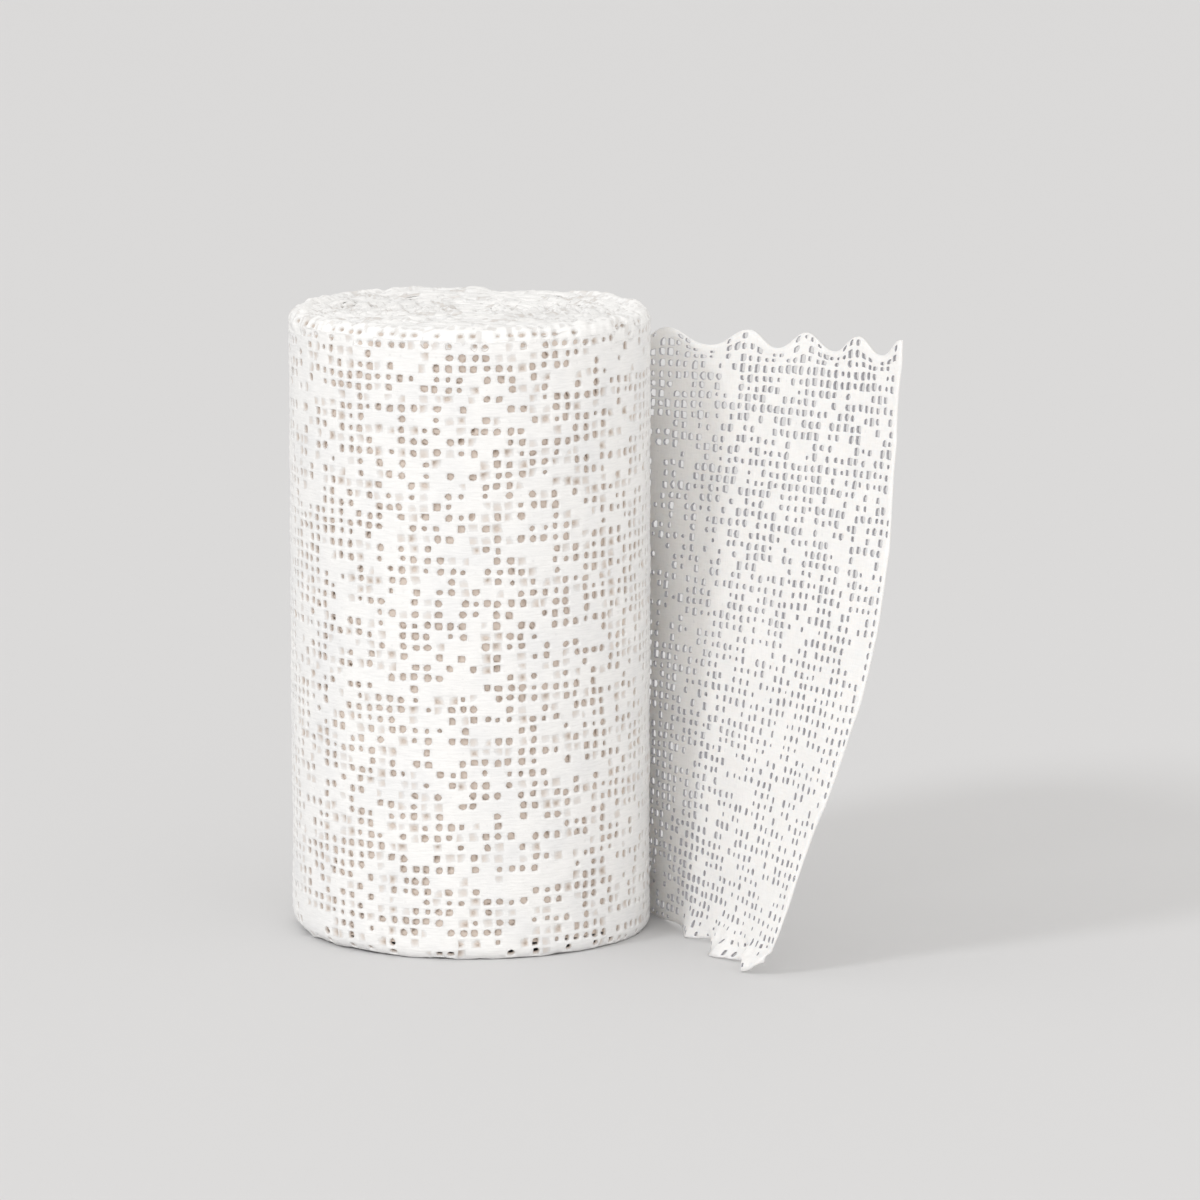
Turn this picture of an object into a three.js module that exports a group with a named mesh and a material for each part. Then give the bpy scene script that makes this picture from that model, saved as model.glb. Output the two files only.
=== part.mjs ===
// A plaster bandage roll: one slit strip of gauze coated in dry plaster, wound into a roll that stands on
// its end, with the last stretch of the strip left loose. The loose end leaves the roll at the back, on the
// right, and comes forward in a slow curve, standing on its lower edge.
//
// Millimetres, +Z up. The origin is on the floor, on the axis of the roll. +X is to the right and -Y is
// towards the front. An angle round the roll starts at the back (+Y) and grows towards the right (+X). A
// heading is the way that the loose end runs: 0 is to the right and 90 is straight towards the front.

import * as THREE from 'three';

// The strip
const STRIP_WIDTH = 100;
const CLOTH = 1;              // thickness of one layer, with its plaster
const GAP = 0.3;              // air between two pieces that touch on the real roll
const LOBE_HEIGHT = 2.6;      // from the hollows to the tips of the wavy long edges

// The wound roll
const LEAST_RADIUS = 28.4;    // just past the line where the loose end leaves
const TURN_STEP = CLOTH + GAP;
const LIFT_ANGLE_FOOT = 67;   // where the loose end leaves the roll, at the floor
const LIFT_ANGLE_TOP = 37;    // and at the top: the line leans
const OUT_OF_ROUND = 0.2;
const SHOULDER = 2;           // rounding at the top, where the edges of the turns are folded in
const FOOT_ROUNDING = 3;
const RIDGE_PITCH = 4.8;      // the main twists that show on the top face, each of a few turns
const RIDGE_HEIGHT = 0.9;
const EDGE_LOBES = 12;        // tips of the wavy edge, once round the outer turn
const EDGE_LOBE_DIP = 0.7;
const EYE_RADIUS = 4;         // the small hollow that the first turns leave at the middle
const EYE_DEPTH = 2.5;
const STEPS_ROUND = 64;
const STEPS_ACROSS_TOP = 19;
const STEP_FADES_BY = 0.75;   // share of the way out from the axis where the step has faded from the top
const WALL_HEIGHTS = [3, 22, 41, 60, 79, 98];

// The loose end. Each of these has a value at the foot, one at the top, and a bulge at half height.
const HEADING_RUN = 75;       // the headings are set at the start, at half this run, and at the whole run
const START = { foot: LIFT_ANGLE_FOOT, top: LIFT_ANGLE_TOP, bulge: 0 };
const HALFWAY = { foot: 71.5, top: 52.2, bulge: -2.5 };
const FAR = { foot: 71, top: 64, bulge: -5 };
const LENGTH = { foot: 56, top: 81.5, bulge: 4.8 };
const CUT_WAVE = -1.2;        // unevenness of the cut that ends the strip
const TOP_AT_ROLL = 94.1;     // height of the upper tips where the strip leaves the roll
const TOP_FAR = 99.5;         // and at the whole run
const UPPER_TIPS = [2, 18, 37, 52, 68, 81, 96];
const LOWER_TIPS = [-9, 7, 27, 40, 50.5, 63];
const LOWER_TIP_FLAT = 0.25;  // how much of a lower tip is pressed flat on the floor
const CURL = 1.6;             // how far the lower tips turn out to the left, once they are clear of the roll
const CURL_HEIGHT = 8;
const CURL_STARTS = 10;
const CURL_FULL = 24;
const STEPS_ALONG = 52;
const STEPS_UP = 12;
const ROUTE_STEPS = 60;       // steps in which a place on the loose end is worked out

const rad = THREE.MathUtils.degToRad;
const lerp = THREE.MathUtils.lerp;

// A value that changes from the foot to the top with a bulge between them.
function atHeight({ foot, top, bulge }, up) {
  return lerp(foot, top, up) + bulge * 4 * up * (1 - up);
}

// 1 on a tip of a wavy edge and 0 in the hollow halfway to the next one.
function lobe(tips, run) {
  const next = tips.findIndex((tip) => tip > run);
  const phase = next < 1 ? 0 : (run - tips[next - 1]) / (tips[next] - tips[next - 1]);
  return (1 + Math.cos(phase * 2 * Math.PI)) / 2;
}

// Joins points into a closed body. The triangles run anticlockwise as seen from outside.
function body(name, points, triangles, material) {
  const geometry = new THREE.BufferGeometry();
  geometry.setAttribute('position', new THREE.Float32BufferAttribute(points.flat(), 3));
  geometry.setIndex(triangles.flat());
  geometry.computeVertexNormals();
  const mesh = new THREE.Mesh(geometry, material);
  mesh.name = name;
  return mesh;
}

// The rows of the wound roll, from the rim of its flat foot to its middle at the top. Each has its height
// and its place from the wall (inset) or, on the top face, its share of the way out from the axis.
function rollRows() {
  const bevel = 1 - Math.SQRT1_2;
  const rows = [
    { inset: FOOT_ROUNDING, z: 0 },
    { inset: FOOT_ROUNDING * bevel, z: FOOT_ROUNDING * bevel },
  ];
  for (const z of WALL_HEIGHTS) rows.push({ inset: 0, z });
  rows.push({ inset: SHOULDER * bevel, z: STRIP_WIDTH - SHOULDER * bevel });
  for (let i = 0; i < STEPS_ACROSS_TOP; i++) {
    rows.push({ inset: SHOULDER, z: STRIP_WIDTH, share: 1 - i / STEPS_ACROSS_TOP, onTop: true });
  }
  return rows;
}

// How far the top face lies below the highest edges: the main twists, the folded tips near the rim and the
// hollow at the middle.
function topDip(radius, angle) {
  const twist = (1 - Math.cos(2 * Math.PI * (radius / RIDGE_PITCH - angle / (2 * Math.PI)))) / 2;
  const nearRim = THREE.MathUtils.smoothstep(radius, LEAST_RADIUS - 6, LEAST_RADIUS - 2);
  const tips = EDGE_LOBE_DIP * (1 - Math.cos(EDGE_LOBES * angle)) / 2;
  const eye = EYE_DEPTH * (1 - THREE.MathUtils.smoothstep(radius, 0, EYE_RADIUS));
  return RIDGE_HEIGHT * twist * (1 - nearRim) + tips * nearRim + eye;
}

// A point of the wound roll. turn goes from 0 just past the lift line, clockwise as seen from above, to 1
// back at the line, where the radius is one layer larger.
function rollPoint({ inset, z, share = 1, onTop = false }, turn) {
  const lift = lerp(LIFT_ANGLE_FOOT, LIFT_ANGLE_TOP, z / TOP_AT_ROLL);
  const angle = rad(lift) + turn * 2 * Math.PI;
  const round = OUT_OF_ROUND * Math.sin(2 * angle) * Math.sin(Math.PI * turn);
  const step = TURN_STEP * lerp(0.5, turn, stepLeft(share));
  const radius = (LEAST_RADIUS + step + round - inset) * share;
  const height = onTop ? z - topDip(radius, angle) : z;
  return [radius * Math.sin(angle), radius * Math.cos(angle), height];
}

// How much of the step between two turns is left at this share of the way out from the axis.
function stepLeft(share) {
  return Math.max(0, (share - STEP_FADES_BY) / (1 - STEP_FADES_BY));
}

function woundRoll(material) {
  const rows = rollRows();
  const columns = STEPS_ROUND + 1;
  const points = [];
  for (const row of rows) {
    for (let i = 0; i < columns; i++) points.push(rollPoint(row, i / STEPS_ROUND));
  }
  const footMiddle = points.push([0, 0, 0]) - 1;
  const topMiddle = points.push([0, 0, STRIP_WIDTH - topDip(0, 0)]) - 1;
  const corner = (row, i) => {
    const closed = stepLeft(rows[row].share ?? 1) === 0;
    return row * columns + (closed ? i % STEPS_ROUND : i);
  };
  const triangles = [];
  const add = (a, b, c) => {
    if (a !== b && b !== c && a !== c) triangles.push([a, b, c]);
  };
  const last = rows.length - 1;
  for (let i = 0; i < columns; i++) {
    const j = (i + 1) % columns;
    for (let row = 0; row < last; row++) {
      add(corner(row, i), corner(row + 1, i), corner(row, j));
      add(corner(row, j), corner(row + 1, i), corner(row + 1, j));
    }
    add(footMiddle, corner(0, i), corner(0, j));
    add(topMiddle, corner(last, j), corner(last, i));
  }
  return body('wound_roll', points, triangles, material);
}

// How long the loose end is at this share of its height, from the lift line to its cut end.
function looseLength(up) {
  return atHeight(LENGTH, up) + CUT_WAVE * Math.sin(3 * Math.PI * up);
}

// The place and heading of the middle of the loose end, this run from the lift line. The heading changes
// smoothly with the run, so the place is added up in short steps.
function looseRoute(up, run) {
  const start = atHeight(START, up);
  const halfway = atHeight(HALFWAY, up);
  const far = atHeight(FAR, up);
  const square = 2 * (far - 2 * halfway + start);
  const slope = far - start - square;
  const headingAt = (r) => rad(start + slope * (r / HEADING_RUN) + square * (r / HEADING_RUN) ** 2);
  const radius = LEAST_RADIUS + TURN_STEP - CLOTH / 2;
  const step = run / ROUTE_STEPS;
  let x = radius * Math.sin(rad(start));
  let y = radius * Math.cos(rad(start));
  for (let i = 0; i < ROUTE_STEPS; i++) {
    const heading = headingAt((i + 0.5) * step);
    x += step * Math.cos(heading);
    y -= step * Math.sin(heading);
  }
  return { x, y, heading: headingAt(run) };
}

// A point on one face of the loose end. along goes from 0 a gap past the lift line to 1 at the cut end, and
// up from 0 at the lower edge to 1 at the upper one. side is 1 on the face that the roll is on, else -1.
function loosePoint(along, up, side) {
  const run = lerp(GAP, looseLength(up), along);
  const tipHeight = lerp(TOP_AT_ROLL, TOP_FAR, run / HEADING_RUN);
  const above = tipHeight - LOBE_HEIGHT * (1 - lobe(UPPER_TIPS, run));
  const below = Math.max(0, LOBE_HEIGHT * (1 - lobe(LOWER_TIPS, run)) - LOWER_TIP_FLAT);
  const z = lerp(below, above, up);
  const { x, y, heading } = looseRoute(z / tipHeight, run);
  const curl = CURL * lobe(LOWER_TIPS, run) * THREE.MathUtils.smoothstep(run, CURL_STARTS, CURL_FULL);
  const out = curl * Math.max(0, 1 - z / CURL_HEIGHT) ** 2 + side * CLOTH / 2;
  return [x - out * Math.sin(heading), y - out * Math.cos(heading), z];
}

function looseEnd(material) {
  const columns = STEPS_ALONG + 1;
  const rows = STEPS_UP + 1;
  const points = [];
  for (const side of [1, -1]) {
    for (let k = 0; k < rows; k++) {
      for (let i = 0; i < columns; i++) points.push(loosePoint(i / STEPS_ALONG, k / STEPS_UP, side));
    }
  }
  const left = (k, i) => k * columns + i;
  const right = (k, i) => rows * columns + left(k, i);
  const triangles = [];
  const quad = (a, b, c, d) => triangles.push([a, b, c], [a, c, d]);
  for (let k = 0; k < STEPS_UP; k++) {
    for (let i = 0; i < STEPS_ALONG; i++) {
      quad(left(k, i), left(k, i + 1), left(k + 1, i + 1), left(k + 1, i));
      quad(right(k, i), right(k + 1, i), right(k + 1, i + 1), right(k, i + 1));
    }
    quad(left(k, 0), left(k + 1, 0), right(k + 1, 0), right(k, 0));
    quad(left(k, STEPS_ALONG), right(k, STEPS_ALONG), right(k + 1, STEPS_ALONG), left(k + 1, STEPS_ALONG));
  }
  for (let i = 0; i < STEPS_ALONG; i++) {
    quad(left(0, i), right(0, i), right(0, i + 1), left(0, i + 1));
    quad(left(STEPS_UP, i), left(STEPS_UP, i + 1), right(STEPS_UP, i + 1), right(STEPS_UP, i));
  }
  return body('loose_end', points, triangles, material);
}

const plasterGauze = new THREE.MeshStandardMaterial({ color: 0xf0efec, roughness: 0.92, metalness: 0 });
const looseGauze = new THREE.MeshStandardMaterial({ color: 0xe9e6e1, roughness: 0.92, metalness: 0 });

const bandageRoll = new THREE.Group();
bandageRoll.add(woundRoll(plasterGauze));
bandageRoll.add(looseEnd(looseGauze));

export default bandageRoll;
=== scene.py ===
"""A plaster bandage roll standing on its end, with the last stretch of its strip left loose.

The wound solid is shown by the outer turn of gauze with its open weave, the turn that shows through its
holes, a stretch of the turn below, where the outer turn's edge comes free, and the edges of the turns at
the top and at the foot. The loose end is one sheet of the same gauze. Both take their weave from one
strip, so it runs on where the sheet lifts off.

Lengths are in millimetres, as in the CAD source, and become metres when a mesh is made. The places and
sizes of the lights, the floor and the camera are in metres.
"""

import math

import bpy
import numpy as np
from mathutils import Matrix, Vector


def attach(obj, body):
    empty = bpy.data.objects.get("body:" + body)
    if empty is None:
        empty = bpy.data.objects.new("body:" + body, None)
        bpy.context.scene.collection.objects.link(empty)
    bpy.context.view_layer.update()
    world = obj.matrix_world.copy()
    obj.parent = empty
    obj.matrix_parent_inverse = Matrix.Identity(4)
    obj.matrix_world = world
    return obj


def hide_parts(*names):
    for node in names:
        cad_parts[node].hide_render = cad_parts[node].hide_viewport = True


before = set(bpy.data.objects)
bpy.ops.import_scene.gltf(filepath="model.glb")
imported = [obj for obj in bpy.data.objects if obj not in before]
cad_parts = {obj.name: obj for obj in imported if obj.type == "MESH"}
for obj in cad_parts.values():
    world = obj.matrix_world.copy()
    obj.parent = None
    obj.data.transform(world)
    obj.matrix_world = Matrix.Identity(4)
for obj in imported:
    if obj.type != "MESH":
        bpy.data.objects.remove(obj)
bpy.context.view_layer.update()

MM = 0.001
rng = np.random.default_rng(20)

# The strip and the wound form, with the sizes of the CAD source, but for the tips of the wavy edges, which
# go on round the roll here, the height of the curl and the steps of the route
STRIP_WIDTH = 100.0
LOBE_HEIGHT = 2.6
LEAST_RADIUS = 28.4
TURN_STEP = 1.3
LIFT_FOOT = 67.0
LIFT_TOP = 37.0
OUT_OF_ROUND = 0.2
SHOULDER = 2.0
RIDGE_PITCH = 4.8
RIDGE_HEIGHT = 0.9
EDGE_LOBES = 12
EDGE_LOBE_DIP = 0.7
EYE_RADIUS = 4.0
EYE_DEPTH = 2.5
HEADING_RUN = 75.0
START = (LIFT_FOOT, LIFT_TOP, 0.0)
HALFWAY = (71.5, 52.2, -2.5)
FAR = (71.0, 64.0, -5.0)
LENGTH = (56.0, 81.5, 4.8)
CUT_WAVE = -1.2
TOP_AT_ROLL = 94.1
TOP_FAR = 99.5
UPPER_TIPS = np.array([-50, -33, -15, 2, 18, 37, 52, 68, 81, 96.0])
LOWER_TIPS = np.array([-62, -44, -26, -9, 7, 27, 40, 50.5, 63.0])
LOWER_TIP_FLAT = 0.25
CURL_HEIGHT = 7.0
ROUTE_STEPS = 40

# Where the strip's gauze lies
FOOT_BEND = 2.3  # mean radius of the bend at the foot
FOOT_UNEVEN = 0.9
SHARPEST_FOOT = math.radians(120)  # the angle round the roll where that radius is least
WRAP_RADIUS = LEAST_RADIUS + TURN_STEP - 0.5  # places along the strip are measured at this radius
WRAP_FACE = 0.35  # how far outside it the outer face of the loose end starts
LEAST_HEIGHT = 0.02  # nothing stands nearer to the floor than this

# The lower edge of the loose end: the place along the strip, how high it stands and how far it bends in
LOWER_EDGE = np.array([
    (7, 0, 0), (10, 0, 0), (13.5, 0.35, 0), (18, 0.7, 0.3),
    (21, 0.1, 0.95), (24, 0, 1.5), (27.5, 0.5, 0.6), (32, 1.35, 0.2),
    (33.5, 1.25, 0.6), (35.5, 0.45, 1.7), (38, 0, 2.3), (40.5, 0.1, 1.9),
    (42, 0.35, 1), (44, 0.3, 0.1), (46, 0.7, 0), (48, 0.6, 0.9),
    (49.5, 0.2, 2.1), (50.8, 0, 2.6), (52.5, 0.5, 1.8), (54, 1.4, 0.8),
    (56.5, 2.7, 0.1),
])

# The weave: the distance between threads, round the roll and up it
COLUMN = 1.95
ROWS = 59
ROW = STRIP_WIDTH / ROWS
TURN_COLUMNS = round(math.tau * WRAP_RADIUS / COLUMN)
ROWS_UNDER = 2  # rows that are folded in under the foot
ROWS_OVER = 3  # and rows past the top, for the folded edge
FIRST_COLUMN = -98
LAST_COLUMN = 54
EDGE_ROWS = 3  # rows that follow the waves of an edge that stands free
SKIN = 0.15  # how far inside the face of the wound solid the gauze lies
SPARE_POINTS = 8  # points of the thread grid past the last whole cell, as far as the cut
SHEET_THICK = 0.36
LAYER = 0.55  # from the face of the outer turn to the turn that shows through its holes
UNDER_DEPTH = 0.5  # the same for the holes of the turns below it
OVERLAP = 5  # columns by which a turn goes on behind the next one
HOLE_RIM = 1.17  # size of the soft rim round an open hole, as a share of the hole
THREAD_BESIDE = 0.22  # least half width of the threads beside a hole
THREAD_ABOVE = 0.20  # and above and below it
EDGE_CLOSED = 0.2  # share of the holes that are closed in the rows along both edges
EDGE_OPEN = 0.4  # and of those that are opened in the rows round the foot

# The upper edge of the outer turn, which is folded in over the turns within
FOLD_ROW = 57
SHOULDER_START = 98.3
FOLD_BEND = math.radians(105)
FOLD_LENGTH = 4.2
FOLD_THICK = 0.4
FOLD_START = 96.45
FOLD_AROUND = 560
FOLD_ACROSS = 24

# Before the lift line that edge comes free of the turn below
FREE_TURN = 0.84  # the share of the turn where it starts to
BELOW_ROW = 52  # near the row from which the turn below shows
FREE_ROW = 47  # from this row up the sheet starts before the lift line
FREE_COLUMNS = 14  # by up to this many columns


def lerp(a, b, t):
    return a + (b - a) * t


def smoothstep(x, low, high):
    t = np.clip((x - low) / (high - low), 0, 1)
    return t * t * (3 - 2 * t)


def at_height(values, up):
    foot, top, bulge = values
    return lerp(foot, top, up) + bulge * 4 * up * (1 - up)


def lobe(tips, run):
    """1 on a tip of a wavy edge and 0 in the hollow halfway to the next one."""
    right = np.clip(np.searchsorted(tips, run, side="right"), 1, len(tips) - 1)
    phase = (run - tips[right - 1]) / (tips[right] - tips[right - 1])
    return (1 + np.cos(np.clip(phase, 0, 1) * math.tau)) / 2


def plane(radius, angle):
    """The place at this distance from the axis and this angle round it."""
    return radius * np.sin(angle), radius * np.cos(angle)


class Noise:
    """Smooth random values from -1 to 1 over a plane, blended between the points of a seeded table."""

    SIZE = 256

    def __init__(self):
        self.table = rng.uniform(-1, 1, (self.SIZE, self.SIZE))

    def __call__(self, x, y, step_x, step_y=None):
        gx = np.asarray(x, float) / step_x + 1000.0
        gy = np.asarray(y, float) / (step_y or step_x) + 1000.0
        ix = np.floor(gx).astype(int)
        iy = np.floor(gy).astype(int)
        fx = smoothstep(gx - ix, 0, 1)
        fy = smoothstep(gy - iy, 0, 1)

        def at(x_cell, y_cell):
            return self.table[x_cell % self.SIZE, y_cell % self.SIZE]

        low = lerp(at(ix, iy), at(ix + 1, iy), fx)
        high = lerp(at(ix, iy + 1), at(ix + 1, iy + 1), fx)
        return lerp(low, high, fy)


def lift_angle(v):
    return np.radians(lerp(LIFT_FOOT, LIFT_TOP, v / STRIP_WIDTH))


def run_of(sigma, v):
    """How far past the lift line this place of the strip is. It is negative on the roll."""
    return sigma - WRAP_RADIUS * lift_angle(v)


def turn_of(run):
    """How much of the outer turn lies behind this place: 0 at its start and 1 at the lift line."""
    return 1 + run / (math.tau * WRAP_RADIUS)


def cell_run(c, k):
    """The run of the middle of a cell of the weave."""
    return run_of((c + 0.5) * COLUMN, (k + 0.5) * ROW)


def tip_height(run):
    """The height of the strip's upper tips, which stand lower where it leaves the roll."""
    on_roll = lerp(STRIP_WIDTH, TOP_AT_ROLL, smoothstep(turn_of(run), 0.81, 0.92))
    loose = lerp(TOP_AT_ROLL, TOP_FAR, run / HEADING_RUN)
    return np.where(run < 0, on_roll, loose)


def standing_height(v, run):
    """The height of a place on the strip where its wavy edges stand free."""
    tips = tip_height(run)
    z = v / STRIP_WIDTH * tips
    band = EDGE_ROWS * ROW
    upper = tips - LOBE_HEIGHT * (1 - lobe(UPPER_TIPS, run) ** 1.3)
    lower = np.maximum(0, LOBE_HEIGHT * (1 - lobe(LOWER_TIPS, run)) ** 1.6 - LOWER_TIP_FLAT)
    loose_lower = np.interp(run, LOWER_EDGE[:, 0], LOWER_EDGE[:, 1])
    lower = np.where(run < LOWER_EDGE[0, 0], lower, loose_lower)
    start = (STRIP_WIDTH - band) / STRIP_WIDTH * tips
    z = np.where(v > STRIP_WIDTH - band, lerp(start, upper, (v - STRIP_WIDTH + band) / band), z)
    return np.where(v < band, lerp(lower, band / STRIP_WIDTH * tips, v / band), z)


def folded_in(turn):
    """1 where the edges of the outer turn are folded in, 0 near the lift line where they stand free."""
    return 1 - smoothstep(turn, 0.86, 0.985)


def foot_rounding(angle):
    return FOOT_BEND - FOOT_UNEVEN * np.cos(angle - SHARPEST_FOOT)


noise_a = Noise()
noise_b = Noise()
noise_c = Noise()


def roll_point(sigma, v, out, drop=0.0, folded=None):
    """A place on the outer turn. out is how far it stands out of the gauze's face, drop moves the turn
    towards the axis. folded says how far the edges are folded in, if that isn't left to folded_in."""
    run = run_of(sigma, v)
    turn = turn_of(run)
    angle = sigma / WRAP_RADIUS + math.tau
    fold = folded_in(turn) if folded is None else folded
    foot = foot_rounding(angle)
    low = np.clip((foot - v) / foot, 0, math.pi / 2)
    under = np.maximum(0, (foot - v) - foot * math.pi / 2)
    # The folded edge slopes up inwards, because it lies on the edges of the turns within.
    past = np.maximum(0, v - SHOULDER_START)
    high = np.clip(past / SHOULDER, 0, FOLD_BEND)
    over = np.maximum(0, past - SHOULDER * FOLD_BEND)
    inset = foot * (1 - np.cos(low)) + under
    inset = inset + SHOULDER * (1 - np.cos(high)) + over * math.sin(FOLD_BEND)
    z = np.where(v < foot, foot * (1 - np.sin(low)), np.minimum(v, SHOULDER_START))
    z = z + SHOULDER * np.sin(high) + over * math.cos(FOLD_BEND) + 0.25 * np.clip(under, 0, 1)
    normal_r = lerp(1.0, np.cos(low) * np.cos(high), fold)
    normal_z = fold * (np.sin(high) - np.sin(low))
    z = lerp(standing_height(np.clip(v, 0, STRIP_WIDTH), run), z, fold)
    inset = inset * fold
    wobble = OUT_OF_ROUND * np.sin(2 * angle) * np.sin(math.pi * np.clip(turn, 0, 1))
    radius = LEAST_RADIUS + TURN_STEP * turn + wobble - SKIN - inset - drop * normal_r + out * normal_r
    z = np.maximum(z + (out - drop) * normal_z, LEAST_HEIGHT)
    return np.stack([*plane(radius, angle), z], -1)


def loose_point(sigma, v, out):
    """A place on the loose end. out is 0 on the face that is the outer one on the roll."""
    run = run_of(sigma, v)
    z = standing_height(np.clip(v, 0, STRIP_WIDTH), run)
    up = z / tip_height(run)
    start = at_height(START, up)
    halfway = at_height(HALFWAY, up)
    far = at_height(FAR, up)
    square = 2 * (far - 2 * halfway + start)
    slope = far - start - square
    x, y = plane(WRAP_RADIUS, np.radians(start))

    def heading_at(run):
        part = run / HEADING_RUN
        return np.radians(start + slope * part + square * part**2)

    step = run / ROUTE_STEPS
    for i in range(ROUTE_STEPS):
        heading = heading_at((i + 0.5) * step)
        x = x + step * np.cos(heading)
        y = y - step * np.sin(heading)
    heading = heading_at(run)
    curl = np.interp(run, LOWER_EDGE[:, 0], LOWER_EDGE[:, 2]) * np.maximum(0, 1 - v / CURL_HEIGHT) ** 2
    free = smoothstep(run, 2, 12)
    near_edge = np.maximum(smoothstep(v, 90, 100), 1 - smoothstep(v, 0, 12))
    ripple = free * (0.22 * noise_a(run, v, 17, 40) + near_edge * 0.4 * noise_b(run, v, 6.5, 9))
    crumpled = smoothstep(run, 30, 36) * (1 - smoothstep(v, 1, 6))
    ripple = ripple + crumpled * (0.45 * noise_c(run, v, 3.2, 2.6) + 0.75 * noise_a(run, v, 1.7, 1.5))
    inward = curl + ripple - (WRAP_FACE + out)
    return np.stack([x - inward * np.sin(heading), y - inward * np.cos(heading), z], -1)


def strip_point(sigma, v, out):
    """A place on the strip, on the roll before the lift line and on the loose end after it."""
    on_roll = (run_of(sigma, v) < 0)[..., None]
    return np.where(on_roll, roll_point(sigma, v, out), loose_point(sigma, v, out))


# What a cell of the weave can be, in the order of their shares in Weave
CLOSED, FILLED, OPEN = range(3)


class Weave:
    """The gauze of a stretch of the strip: where its threads run and which of its holes are open."""

    def __init__(self, closed, filled):
        wide = LAST_COLUMN - FIRST_COLUMN
        high = ROWS + ROWS_UNDER + ROWS_OVER
        shape = (wide, high)
        self.wander = Noise()
        runs = Noise()
        patches = Noise()
        self.thick = Noise()
        c, k = np.meshgrid(np.arange(wide), np.arange(high), indexing="ij")
        chance = rng.uniform(-1, 1, shape)
        spread = chance + 0.60 * runs(c, k * 7.0, 2.6, 7.0) + 0.22 * patches(c, k, 9.0, 6.0)
        self.state = np.digitize(spread, np.quantile(spread, [closed, closed + filled]))
        small = rng.uniform(0, 1, shape) < 0.25
        size = np.where(small, rng.uniform(0.62, 0.82, shape), 1.0)
        self.half_wide = rng.uniform(0.56, 0.72, shape) * size
        self.half_high = rng.uniform(0.52, 0.66, shape) * size
        self.shift = rng.uniform(-1, 1, (*shape, 2)) * (0.24, 0.13)
        self.radius = rng.uniform(0.84, 1.14, (*shape, 8))
        self.corner = rng.uniform(0.69, 0.82, (*shape, 1))
        self.fill = rng.uniform(0, 1, shape)
        self.relief = rng.uniform(-1, 1, (2 * wide + 30, 2 * high + 3))

    def lattice(self, i, j):
        """Where a point of the thread grid is on the strip. i and j count half cells."""
        sigma = i * COLUMN / 2 + 0.36 * self.wander(i, j, 9, 12) + 0.20 * self.wander(i + 77, j, 2.1, 2.2)
        v = j * ROW / 2 + 0.32 * self.wander(i, j + 311, 12, 6) + 0.12 * self.wander(i, j + 77, 2.5, 2.1)
        v = np.where((j == 0) | (j == 2 * ROWS), j * ROW / 2, v)
        return sigma, v

    def own_relief(self, i, j):
        return self.relief[i - 2 * FIRST_COLUMN, j + 2 * ROWS_UNDER]

    def height(self, i, j):
        """How far the plaster stands out at a point of the thread grid."""
        crossing = (i % 2 == 0) & (j % 2 == 0)
        along = (i % 2 == 1) & (j % 2 == 0)
        height = np.where(crossing, 0.13, np.where(along, 0.12, 0.0)) - 0.12 * self.dent(i, j)
        return height + 0.05 * self.own_relief(i, j) + 0.10 * self.thick(i, j, 7, 5)

    def dent(self, i, j):
        """How sunk a point of the thread grid is, from 0 to 1. Only the middles of the cells are sunk."""
        return ((i % 2 == 1) & (j % 2 == 1)) * (0.2 + 0.8 * ((1 + self.own_relief(i, j)) / 2) ** 1.4)


def spot_of(c, k):
    """Where the weave's tables have the values of these cells."""
    return c - FIRST_COLUMN, k + ROWS_UNDER


RING = np.array([(0, 0), (1, 0), (2, 0), (2, 1), (2, 2), (1, 2), (0, 2), (0, 1)])
RING_SIDE = RING - 1.0
RING_CORNER = np.abs(RING_SIDE).sum(1) == 2


def add_object(name, data):
    added = bpy.data.objects.new(name, data)
    bpy.context.scene.collection.objects.link(added)
    return added


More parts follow.
